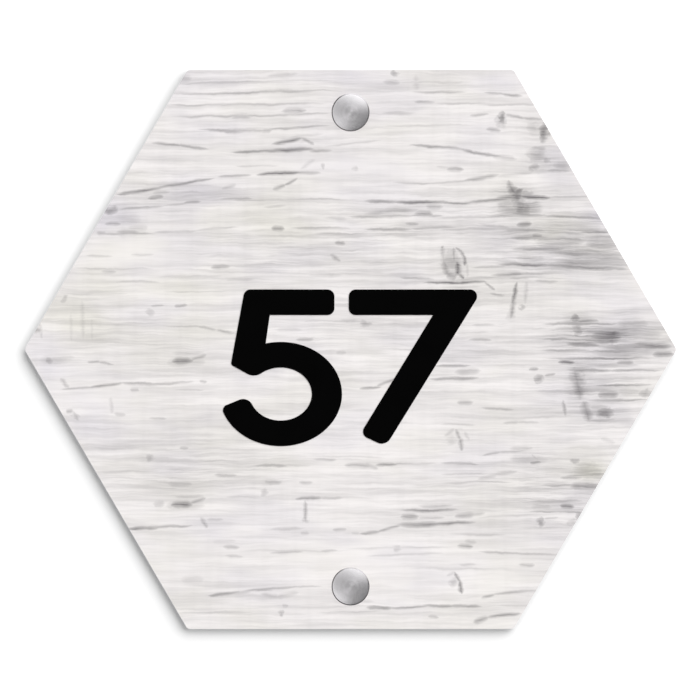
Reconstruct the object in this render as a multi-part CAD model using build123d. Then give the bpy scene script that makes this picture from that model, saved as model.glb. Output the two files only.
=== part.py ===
from build123d import *
import os

# A hexagonal door number plate with its two fixings. X is across the plate, Z is up, and the
# plate's back lies on the door at Y = 0 with its face toward -Y. Millimetres.

# the board
ACROSS_CORNERS = 206.5
ACROSS_FLATS = 177.0
CORNER_RADIUS = 1.5
BOARD_THICKNESS = 3.0
EDGE_EASE = 0.3

# the fixings, one above and one below the number
FIXING_SPACING = 150.0
BOARD_HOLE_R = 2.25
CAP_R = 6.0
CAP_HEIGHT = 3.0
CAP_TOP = 0.8
CAP_BORE_R = 5.0
CAP_CHAMFER = 0.4
BASE_R = 4.95
BASE_HEIGHT = 2.1
BASE_HOLE_R = 2.0

# the countersunk screws, 3.5 x 25
SCREW_LENGTH = 25.0
THREAD_R = 1.75
NECK_R = 1.2
HEAD_R = 3.5
HEAD_RIM = 0.2
THREAD_START = 0.2
TIP_LENGTH = 4.0
RECESS_WIDTH = 0.8
RECESS_SPAN = 3.6
RECESS_DEPTH = 1.4

# the printed film numerals
FILM_THICKNESS = 0.2
STROKE_RADIUS = 2.2
SOFT_RADIUS = 3.2
TERMINAL_RADIUS = 1.76
DIGIT_TOP = 19.0
BAR_BOTTOM = 10.9

# the grain printed on the face: start x, z, end x, z, width, and bow of the middle to the left of that way
PRINT_THICKNESS = 0.1
SHOULDER = 0.25
SHOULDER_BOW = 0.75
GRAIN_MARKS = [
    (-56.4, 80.9, -4.8, 81.8, 0.6, 0.1),
    (-57.0, 77.7, -6.3, 77.7, 0.6, 0.1),
    (-57.0, 74.2, -8.0, 74.8, 0.8, -0.2),
    (-44.3, 69.8, -26.0, 69.2, 1.1, -0.3),
    (-26.0, 69.2, -8.0, 71.0, 0.7, 0.1),
    (-24.7, 65.1, -14.9, 67.0, 1.3, 0.2),
    (-37.4, 62.5, -12.7, 63.8, 1.3, -0.1),
    (-62.7, 65.4, -45.3, 63.5, 1.0, 0.1),
    (-74.4, 49.2, -42.7, 54.3, 1.2, -0.4),
    (-41.8, 54.6, -31.7, 55.2, 0.9, 0.1),
    (-29.1, 55.4, -12.0, 55.9, 1.6, 0.2),
    (-24.4, 50.5, -17.1, 53.8, 1.4, 0.3),
    (-80.0, 36.5, -62.0, 36.9, 1.8, 0.2),
    (-77.0, 44.2, -72.0, 44.0, 2.2, 0.3),
    (-62.7, 37.2, -35.5, 38.8, 0.8, 0.1),
    (19.0, 81.6, 54.8, 80.3, 0.9, 0.2),
    (46.4, 73.0, 49.2, 72.4, 3.4, 0.1),
    (49.1, 73.9, 60.5, 72.7, 1.0, 0.1),
    (59.4, 68.9, 63.2, 68.5, 4.2, 0.2),
    (55.5, 62.4, 62.3, 62.2, 2.6, 0.2),
    (19.0, 64.7, 52.2, 60.3, 1.3, 0.5),
    (13.3, 52.7, 47.5, 55.1, 0.9, -0.8),
    (4.7, 46.9, 46.0, 47.4, 1.3, -0.4),
    (43.0, 47.4, 64.0, 48.1, 2.8, 0.4),
    (51.6, 52.6, 55.7, 42.3, 3.6, 0.3),
    (0.0, 42.1, 27.0, 42.3, 1.5, 0.2),
    (42.7, 42.4, 61.7, 42.2, 1.0, 0.1),
    (4.7, 38.3, 19.0, 38.3, 1.3, 0.1),
    (-24.7, 38.3, -2.0, 38.4, 1.0, 0.1),
    (62.0, 37.6, 81.0, 37.2, 2.2, 0.2),
    (50.7, 31.7, 68.0, 31.7, 0.9, 0.1),
    (47.5, 26.8, 87.0, 25.9, 1.6, -0.2),
    (32.5, 31.9, 36.7, 21.5, 1.2, 1.4),
    (34.3, 27.2, 34.1, 23.0, 1.6, 0.2),
    (41.2, 21.2, 22.0, 21.1, 1.0, 0.1),
    (52.4, 21.1, 50.7, 10.0, 1.5, 0.1),
    (62.7, 8.1, 93.4, 8.0, 1.7, 0.2),
    (70.0, 3.6, 87.0, 3.8, 3.6, 0.3),
    (69.0, 1.6, 101.0, 1.0, 1.5, -0.2),
    (63.3, -2.8, 98.5, -2.6, 1.2, 0.2),
    (66.5, -6.8, 97.0, -6.9, 1.2, 0.1),
    (71.5, -5.9, 73.0, -15.4, 3.4, 0.2),
    (78.2, -12.8, 95.0, -12.6, 2.4, 0.3),
    (73.6, -17.0, 75.6, -22.8, 3.0, 0.2),
    (77.8, -19.8, 83.5, -19.9, 2.8, 0.2),
    (26.3, -5.1, 38.0, -5.1, 0.9, 0.1),
    (24.7, -9.3, 40.8, -9.2, 1.5, 0.2),
    (33.6, -25.5, 35.1, -31.4, 1.6, 0.5),
    (28.5, -36.1, 40.5, -36.2, 0.9, 0.1),
    (68.5, -39.6, 80.5, -38.6, 3.4, 0.2),
    (65.0, -43.3, 77.0, -43.1, 2.2, 0.2),
    (15.2, -50.7, 34.2, -50.6, 1.2, 0.2),
    (16.0, -52.9, 21.4, -52.8, 2.0, 0.2),
    (33.0, -52.8, 41.5, -52.4, 1.6, 0.2),
    (3.2, -58.1, 15.0, -55.6, 1.0, -0.4),
    (14.2, -55.7, 39.3, -54.6, 1.8, 0.2),
    (57.0, -51.4, 73.5, -51.2, 1.0, 0.1),
    (33.9, -62.4, 38.2, -62.4, 1.7, 0.2),
    (7.5, -81.8, 39.6, -81.2, 1.2, 0.5),
    (33.2, -70.8, 35.1, -77.0, 1.5, 0.8),
    (41.5, -78.8, 56.0, -76.7, 1.1, 0.6),
    (39.3, -86.0, 52.3, -83.8, 1.5, 0.5),
    (-45.0, -78.0, -14.9, -75.2, 1.1, -0.2),
    (-27.9, -78.2, -16.8, -77.4, 1.5, -0.2),
    (-69.5, -56.8, -50.7, -55.9, 1.3, 0.1),
    (-39.8, -62.5, -36.0, -62.5, 1.3, 0.2),
    (-25.3, -64.4, -15.5, -64.3, 1.0, 0.1),
    (-57.0, -49.0, -46.2, -48.4, 3.0, -0.3),
    (-57.0, -3.8, -45.9, -3.0, 3.0, -0.3),
    (-97.0, -3.6, -91.5, -3.5, 2.2, 0.2),
    (-91.2, -12.6, -72.2, -11.0, 1.1, -0.4),
    (-72.8, -10.9, -50.7, -10.6, 1.1, -0.4),
    (-43.0, -39.9, -36.0, -39.9, 1.2, 0.2),
    (-30.0, -36.9, -20.3, -36.9, 0.9, 0.1),
    (-17.0, -47.1, -9.2, -46.8, 1.4, 0.2),
    (-14.1, -47.5, -14.2, -54.3, 1.3, 0.1),
    (-1.3, -36.7, 14.5, -36.3, 1.5, -0.2),
    (2.5, 8.4, 6.5, 8.4, 1.8, 0.2),
    (-43.9, 26.3, -38.2, 26.3, 1.4, 0.2),
    (-47.5, 7.1, -38.0, 5.4, 1.0, 0.1),
]

os.makedirs("parts", exist_ok=True)


def polygon(points):
    return make_face(Polyline(*points, close=True))


def rounded_at(outline, point, radius):
    """The outline with the corner nearest to this point rounded."""
    corner = outline.vertices().sort_by_distance(point)[0]
    return fillet(corner, radius)


def on_face(outline, thickness):
    """A flat layer of this outline, lying on the board's front face."""
    front = Plane.XZ.offset(BOARD_THICKNESS)
    return extrude(front * outline, thickness)


def turned(profile, height):
    """A turned piece on the fixing's axis at this height, from radius and Y pairs."""
    return Pos(0, 0, height) * revolve(polygon(profile), Axis.Y)


def board_outline():
    half_width = ACROSS_CORNERS / 2
    half_height = ACROSS_FLATS / 2
    outline = polygon(
        [
            (half_width, 0),
            (half_width / 2, half_height),
            (-half_width / 2, half_height),
            (-half_width, 0),
            (-half_width / 2, -half_height),
            (half_width / 2, -half_height),
        ]
    )
    return fillet(outline.vertices(), CORNER_RADIUS)


def board():
    solid = extrude(Plane.XZ * board_outline(), BOARD_THICKNESS)
    rims = solid.faces().filter_by(Axis.Y).edges()
    solid = chamfer(rims, EDGE_EASE)
    for height in fixing_heights():
        solid -= Pos(0, 0, height) * Rot(90, 0, 0) * Cylinder(BOARD_HOLE_R, 4 * BOARD_THICKNESS)
    return solid


def fixing_heights():
    return (FIXING_SPACING / 2, -FIXING_SPACING / 2)


def five_outline():
    """A bar, a leaning stem and an oval bowl with a mouth cut in it, with the free corners rounded."""
    bar_left, bar_right = -33.5, -5.1
    stem_foot = (-37.9, -4.8)
    stem_inner_top = (-25.57, BAR_BOTTOM)
    stem_inner_bottom = (-26.9, 1.6)
    bar_inside_stem = (-30.0, BAR_BOTTOM)
    stem_inside_bowl = (-33.0, -5.0)
    bowl_centre = (-22.1, -14.1)
    bowl_outer = (19.4, 16.5)
    bowl_inner = (9.85, 8.4)
    foot_tip = (-28.0, -10.3)
    foot_notch = (-30.2, -9.1)
    mouth_top_left = (-45.0, 3.0)
    mouth_top_right = (-35.5, 3.0)
    terminal_inner = (-28.0, -13.0)
    terminal_inner_cut = (-32.0, -14.6)
    terminal_outer_cut = (-40.95, -18.0)
    terminal_outer = (-45.0, -19.9)

    bowl = Pos(bowl_centre) * (Ellipse(*bowl_outer) - Ellipse(*bowl_inner))
    mouth = polygon([mouth_top_left, mouth_top_right, stem_foot, foot_tip, terminal_inner, terminal_outer])
    stem = polygon([(bar_left, DIGIT_TOP), stem_foot, stem_inside_bowl, stem_inner_bottom, stem_inner_top])
    bar = polygon([(bar_left, DIGIT_TOP), bar_inside_stem, (bar_right, BAR_BOTTOM), (bar_right, DIGIT_TOP)])
    outline = bar + stem + (bowl - mouth)
    for point, radius in [
        ((bar_left, DIGIT_TOP), STROKE_RADIUS),
        ((bar_right, DIGIT_TOP), STROKE_RADIUS),
        ((bar_right, BAR_BOTTOM), STROKE_RADIUS),
        (stem_foot, STROKE_RADIUS / 2),
        (foot_notch, 2 * STROKE_RADIUS),
        (terminal_outer_cut, TERMINAL_RADIUS),
        (terminal_inner_cut, SOFT_RADIUS),
    ]:
        outline = rounded_at(outline, point, radius)
    return outline


def seven_outline():
    """A bar and a slanting leg, with the free corners rounded and the inner one sharp."""
    bar_left = -0.55
    bar_right = 41.8
    inner_corner = (26.1, BAR_BOTTOM)
    foot_left = (3.0, -26.9)
    foot_right = (11.1, -30.7)
    outline = polygon(
        [
            (bar_left, DIGIT_TOP),
            (bar_left, BAR_BOTTOM),
            inner_corner,
            foot_left,
            foot_right,
            (bar_right, DIGIT_TOP),
        ]
    )
    for point, radius in [
        ((bar_left, DIGIT_TOP), STROKE_RADIUS),
        ((bar_left, BAR_BOTTOM), STROKE_RADIUS),
        ((bar_right, DIGIT_TOP), STROKE_RADIUS),
        (foot_left, STROKE_RADIUS),
        (foot_right, SOFT_RADIUS),
    ]:
        outline = rounded_at(outline, point, radius)
    return outline


def grain_sliver(x0, z0, x1, z1, width, bow):
    """A field of print with pointed ends between two points, full width between its shoulders."""
    start = Vector(x0, z0)
    way = Vector(x1, z1) - start
    across = way.normalized().rotate(Axis.Z, 90)
    first = start + way * SHOULDER
    second = start + way * (1 - SHOULDER)
    left = across * (SHOULDER_BOW * bow + width / 2)
    right = across * (SHOULDER_BOW * bow - width / 2)
    return polygon([start, first + left, second + left, start + way, second + right, first + right])


def grain_outline(five, seven):
    """All the printed grain, clear of the numerals, the caps and the board's eased edge."""
    marks = Sketch() + [grain_sliver(*mark) for mark in GRAIN_MARKS]
    marks &= offset(board_outline(), -EDGE_EASE)
    marks -= five
    marks -= seven
    for height in fixing_heights():
        marks -= Pos(0, height) * Circle(CAP_R)
    return marks


def cap(height):
    """A turned cover cap, open toward the board, with a chamfered front rim."""
    seat = -BOARD_THICKNESS
    front = seat - CAP_HEIGHT
    ceiling = front + CAP_TOP
    return turned(
        [
            (CAP_BORE_R, seat),
            (CAP_R, seat),
            (CAP_R, front + CAP_CHAMFER),
            (CAP_R - CAP_CHAMFER, front),
            (0, front),
            (0, ceiling),
            (CAP_BORE_R, ceiling),
        ],
        height,
    )


def cone_depth(radius):
    """How far below the head's sharp rim the 90 degree countersink has this radius."""
    return HEAD_R - radius


def cap_base(height):
    """The ring under a cap, countersunk for the screw that clamps it to the board."""
    seat = -BOARD_THICKNESS
    top = seat - BASE_HEIGHT
    cone_top = top + HEAD_RIM
    return turned(
        [
            (BASE_HOLE_R, seat),
            (BASE_R, seat),
            (BASE_R, top),
            (HEAD_R, top),
            (HEAD_R, cone_top),
            (BASE_HOLE_R, cone_top + cone_depth(BASE_HOLE_R)),
        ],
        height,
    )


def screw(height):
    """A countersunk wood screw with a cross recess; the thread is a plain cylinder at its crest."""
    top = -BOARD_THICKNESS - BASE_HEIGHT
    cone_top = top + HEAD_RIM
    tip = top + SCREW_LENGTH
    solid = turned(
        [
            (0, top),
            (HEAD_R, top),
            (HEAD_R, cone_top),
            (NECK_R, cone_top + cone_depth(NECK_R)),
            (NECK_R, THREAD_START),
            (THREAD_R, THREAD_START),
            (THREAD_R, tip - TIP_LENGTH),
            (0, tip),
        ],
        height,
    )
    recess = Box(RECESS_SPAN, 2 * RECESS_DEPTH, RECESS_WIDTH)
    recess += Box(RECESS_WIDTH, 2 * RECESS_DEPTH, RECESS_SPAN)
    return solid - Pos(0, top, height) * recess


def write(name, shape):
    export_step(shape, f"parts/{name}.step")


five = five_outline()
seven = seven_outline()
upper, lower = fixing_heights()

write("board", board())
write("digit_5", on_face(five, FILM_THICKNESS))
write("digit_7", on_face(seven, FILM_THICKNESS))
write("grain_print", on_face(grain_outline(five, seven), PRINT_THICKNESS))
for place, height in (("upper", upper), ("lower", lower)):
    write(f"cap_{place}", cap(height))
    write(f"cap_base_{place}", cap_base(height))
write("fixing_screws", Compound([screw(upper), screw(lower)]))
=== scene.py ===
import math

import bmesh
import bpy
from mathutils import Matrix, Vector


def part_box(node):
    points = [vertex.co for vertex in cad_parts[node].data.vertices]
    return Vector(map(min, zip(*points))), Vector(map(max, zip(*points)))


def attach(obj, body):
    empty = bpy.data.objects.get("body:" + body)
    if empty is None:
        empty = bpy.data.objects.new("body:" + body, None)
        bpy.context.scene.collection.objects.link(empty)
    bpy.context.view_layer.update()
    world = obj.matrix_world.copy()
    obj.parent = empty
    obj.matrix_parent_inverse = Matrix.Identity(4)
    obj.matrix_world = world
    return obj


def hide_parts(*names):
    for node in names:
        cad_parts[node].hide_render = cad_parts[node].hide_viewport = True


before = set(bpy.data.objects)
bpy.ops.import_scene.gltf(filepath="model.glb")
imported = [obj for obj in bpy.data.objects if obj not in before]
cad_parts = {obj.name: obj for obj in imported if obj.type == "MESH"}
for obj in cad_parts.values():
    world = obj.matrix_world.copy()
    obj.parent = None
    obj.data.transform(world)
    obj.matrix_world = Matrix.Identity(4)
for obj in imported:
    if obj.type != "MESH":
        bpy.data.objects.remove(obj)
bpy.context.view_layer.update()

# A hexagonal door number plate: a board faced with a film that is printed as whitewashed wood, two
# black film numerals, and two screws under turned metal caps. Lengths are metres unless a name or a
# comment says millimetres, and the lamps' angles are degrees.

MM = 0.001
BOARD_LOW, BOARD_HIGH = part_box("board")
FACE_Y = BOARD_LOW.y
FACING_FRONT = Matrix.Rotation(math.radians(90), 4, "X")
SAME_PLACE = 1e-7
USUAL_CREASE_DEGREES = 35

# the photograph's frame, and where the plate's centre lies in it
FRAME_WIDTH = 221.63 * MM
PLATE_RIGHT = 0.17 * MM
PLATE_UP = 0.17 * MM
LENS_MM = 500.0
SENSOR_MM = 36.0
NEAREST_SEEN = 10 * MM

# the printed facing film
FILM_THICKNESS = 0.02 * MM
FILM_MARGIN = 0.3 * MM
BOARD_CORNER_RADIUS = 1.5 * MM
CORNER_SEGMENTS = 6
HEXAGON_TURN = math.radians(60)

# the turned cover caps, with the rings' grooves at the centre and at the rim
CAP_NODES = ("cap_upper", "cap_lower")
CAP_BORE_R = 5.0 * MM
CAP_BORE_DEPTH = 2.2 * MM
CAP_CHAMFER = 0.33 * MM
CAP_SIDES = 128
CAP_CREASE_DEGREES = 4
CROWN_TILT = math.radians(7)
CROWN_BEND = 1.6
GROOVE_COUNT = 36
GROOVE_DEPTH_CENTRE = 0.0078 * MM
GROOVE_DEPTH_RIM = 0.0052 * MM
GROOVE_OUTWARD_CENTRE = 0.49
GROOVE_OUTWARD_RIM = 0.96

# the screws
SHANK_R = 1.2 * MM
HEAD_R = 3.5 * MM
HEAD_RIM = 0.2 * MM
TIP_LENGTH = 4.0 * MM
TIP_THREAD_SHARE = 0.15
THREAD_PITCH = 1.5 * MM
THREAD_WIDTH = 0.6 * THREAD_PITCH
THREAD_ROOT_R = 0.9 * SHANK_R
THREAD_CREST_R = 1.75 * MM
THREAD_START_Y = 0.2 * MM
RECESS_WIDTH = 0.8 * MM
RECESS_SPAN = 3.6 * MM
RECESS_DEPTH = 1.4 * MM
SCREW_SIDES = 32

# the stage: a white wall, a soft key lamp, a weaker fill from all round, and a lamp for the back
WALL_HALF = 1.5
WALL_GAP = 0.1 * MM
WALL_LIFT = 0.15
WHITE = (1.0, 1.0, 1.0, 1.0)
OFF_WHITE = (0.985, 0.985, 0.985, 1.0)
FILL_STRENGTH = 0.28
KEY_STRENGTH = 3.16
KEY_ANGLE = 70.0
KEY_TILT = 46.0
KEY_TURN = 46.0
BACK_STRENGTH = 2.25
BACK_ANGLE = 60.0
BACK_SOURCE = (0.3, 1.0, 0.5)

# The front of the room as the metal sees it: its level straight ahead, and what is added to the right,
# to the top, away from the middle, across the saddle and along the slanting one. Between the two
# directions whose y is in ROOM_FRONT it gives way to the level of the sides.
ROOM_LEVEL = 0.60
ROOM_RIGHT = -1.36
ROOM_TOP = 2.22
ROOM_BOWL = 3.6
ROOM_SADDLE = -2.5
ROOM_SLANT = 13.0
ROOM_DIMMEST = 0.41
ROOM_BRIGHTEST = 2.2
ROOM_FRONT = (-0.92, -0.72)
ROOM_SIDES = 0.65

# The belt of the room beside the plate, which the caps' chamfers mirror: dark, with one window.
BELT = (0.5, 0.2)
SKIRTING_LEVEL = 0.1
WINDOW_TURN = 70.0
WINDOW_EDGE = (0.5, 0.95)
WINDOW_LEVEL = 1.6

# The two colours that each finish drifts between, in the display's 0 to 255.
LACQUER = ((244, 243, 241), (234, 234, 232))
PRIMER = ((205, 207, 207), (196, 198, 199))
# the core's dark grey is partly the composite's own core and partly painted shade: dark board sides darken
# the board's shadow on the wall along its edges
SAWN_CORE_AND_EDGE_SHADE = ((54, 54, 57), (74, 74, 77))
BLACK = ((0, 0, 0), (4, 4, 4))
STEEL = ((184, 182, 184), (200, 198, 200))
NYLON = ((222, 222, 216), (204, 204, 198))
ZINC = ((188, 190, 192), (206, 202, 190))

# where the board's core begins behind its front skin and ends before its back one, and where the
# skin turns from lacquer to primer, in millimetres
CORE_FRONT = (-2.72, -2.66)
CORE_BACK = (-0.28, -0.34)
PRIMER_START = (-0.35, -0.33)

# the printed colours, in the display's 0 to 255
WASH = (253, 249, 248)
STRAW = (242, 239, 230)
LILAC = (237, 233, 238)
INK = (78, 74, 78)

# How grey each layer of the printed grain is on the open wash, and how much more where it is dense.
STREAK_GREY = (0.09, 0.17)
BAND_GREY = (0.12, 0.07)
FIBRE_GREY = (0.022, 0.05)
PATCH_GREY = 0.07
SAW_GREY = 0.022

# The hairlines: the level of the noise that each one follows, its thickness there, and how grey it is.
HAIRLINES = ((0.47, 0.022, 0.10), (0.56, 0.018, 0.13))

# how far the grain and the knots' edges wander, in millimetres
GRAIN_SWAY = 1.4
GRAIN_FRAY = 0.4
KNOT_BLOT_X = 2.2
KNOT_BLOT_Z = 1.6

# how much wider a stroke fades out than its width says, the stroke that fills up a set of three, and
# the share of their darkness that the knots keep
STROKE_SPREAD = 1.3
NO_STROKE = (0.0,) * 8
KNOT_SHARE = 0.8

# the Mix node's sockets that carry colours, and how far apart two seeds' noises lie
MIX_SHARE, MIX_FIRST, MIX_SECOND, MIX_RESULT = 0, 6, 7, 2
SEED_STEP = (7.3, 3.1, 5.7)

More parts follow.
